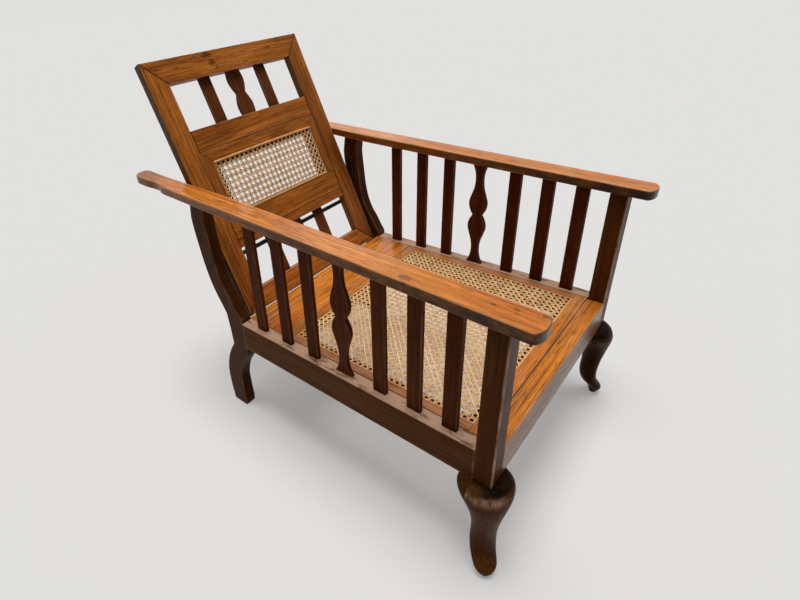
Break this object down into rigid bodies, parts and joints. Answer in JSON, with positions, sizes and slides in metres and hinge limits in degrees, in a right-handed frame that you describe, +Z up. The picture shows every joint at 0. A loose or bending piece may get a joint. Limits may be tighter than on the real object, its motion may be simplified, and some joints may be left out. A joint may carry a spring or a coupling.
{
  "type": "planters chair",
  "caption": "Low wooden armchair with slatted sides, cabriole front legs, a drop-in caned seat and a caned back that reclines on an iron rod in hook plates.",
  "frame": {"origin": "on the floor, below the centre of the chair's overall width and depth", "axes": "+Z up, -Y out of the front of the chair towards the sitter's knees, +X to the sitter's left"},
  "size_m": [0.678, 1.056, 0.913],
  "materials": {
    "frame_wood": "dark reddish brown hardwood, waxed to a soft gloss",
    "top_wood": "warm orange-brown hardwood, polished",
    "slat_wood": "dark brown hardwood, satin",
    "back_wood": "golden brown hardwood with darker streaks and knots, waxed",
    "cane": "pale woven rattan cane, matte to satin",
    "cane_binding": "split cane strip, satin",
    "black_iron": "black iron, worn satin"
  },
  "bodies": {
    "frame": {"front_leg_right": "frame_wood", "knee_block_side_right": "frame_wood", "knee_block_front_right": "frame_wood", "rear_leg_right": "frame_wood", "pivot_pin_right": "black_iron", "hook_plate_right": "black_iron", "arm_right": "top_wood", "side_rail_right": "frame_wood", "seat_cleat_right": "frame_wood", "side_splat_right": "slat_wood", "side_slat_right_1": "slat_wood", "side_slat_right_2": "slat_wood", "side_slat_right_3": "slat_wood", "side_slat_right_4": "slat_wood", "side_slat_right_5": "slat_wood", "side_slat_right_6": "slat_wood", "front_leg_left": "frame_wood", "knee_block_side_left": "frame_wood", "knee_block_front_left": "frame_wood", "rear_leg_left": "frame_wood", "pivot_pin_left": "black_iron", "hook_plate_left": "black_iron", "arm_left": "top_wood", "side_rail_left": "frame_wood", "seat_cleat_left": "frame_wood", "side_splat_left": "slat_wood", "side_slat_left_1": "slat_wood", "side_slat_left_2": "slat_wood", "side_slat_left_3": "slat_wood", "side_slat_left_4": "slat_wood", "side_slat_left_5": "slat_wood", "side_slat_left_6": "slat_wood", "front_rail": "top_wood", "rear_rail": "frame_wood", "rear_board": "top_wood"},
    "seat": {"seat_frame_front": "top_wood", "seat_frame_rear": "top_wood", "seat_frame_right": "top_wood", "seat_frame_left": "top_wood", "seat_cane": "cane", "seat_cane_binding": "cane_binding"},
    "back": {"back_stile_right": "back_wood", "back_stile_left": "back_wood", "back_top_rail": "back_wood", "back_upper_cross_rail": "back_wood", "back_lower_cross_rail": "back_wood", "back_bottom_rail": "back_wood", "back_slat_upper_right": "slat_wood", "back_slat_upper_left": "slat_wood", "back_slat_lower_right": "slat_wood", "back_slat_lower_left": "slat_wood", "back_splat_upper": "slat_wood", "back_splat_lower": "slat_wood", "back_cane_frame_top": "back_wood", "back_cane_frame_right": "back_wood", "back_cane_frame_left": "back_wood", "back_cane": "cane", "back_cane_binding": "cane_binding"},
    "rod": {"support_rod": "black_iron"}
  },
  "joints": [
    {"name": "back_recline", "type": "hinge", "parent": "frame", "child": "back", "pos_m": [0, 0.2118, 0.3125], "axis": [1, 0, 0], "range_deg": [0, 95]},
    {"name": "rod_lift", "type": "slide", "parent": "frame", "child": "rod", "axis": [0, 0.4067, 0.9135], "range_m": [0, 0.016]},
    {"name": "seat_lift", "type": "slide", "parent": "frame", "child": "seat", "axis": [0, 0, 1], "range_m": [0, 0.04]}
  ]
}
